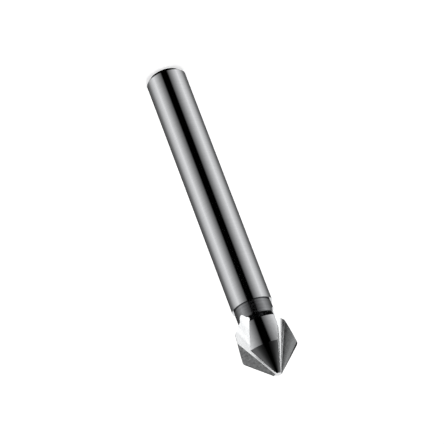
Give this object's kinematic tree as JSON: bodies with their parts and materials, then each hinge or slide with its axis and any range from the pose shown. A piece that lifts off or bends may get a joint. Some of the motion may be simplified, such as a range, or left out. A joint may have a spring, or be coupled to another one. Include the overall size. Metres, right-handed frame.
{
  "type": "countersink bit",
  "caption": "Short straight-shank countersink bit with ground flutes and a right-angle cutting cone, for chamfering the mouths of drilled holes.",
  "frame": {"origin": "centre of the shank's flat end face, on the bit's axis", "axes": "+Z runs along the bit from the shank's end to the point; +X passes through one of the cutting edges"},
  "size_m": [0.0082, 0.0079, 0.05],
  "materials": {
    "ground_steel": "bright ground"
  },
  "bodies": {
    "root": {"countersink_bit": "ground_steel"}
  },
  "joints": []
}
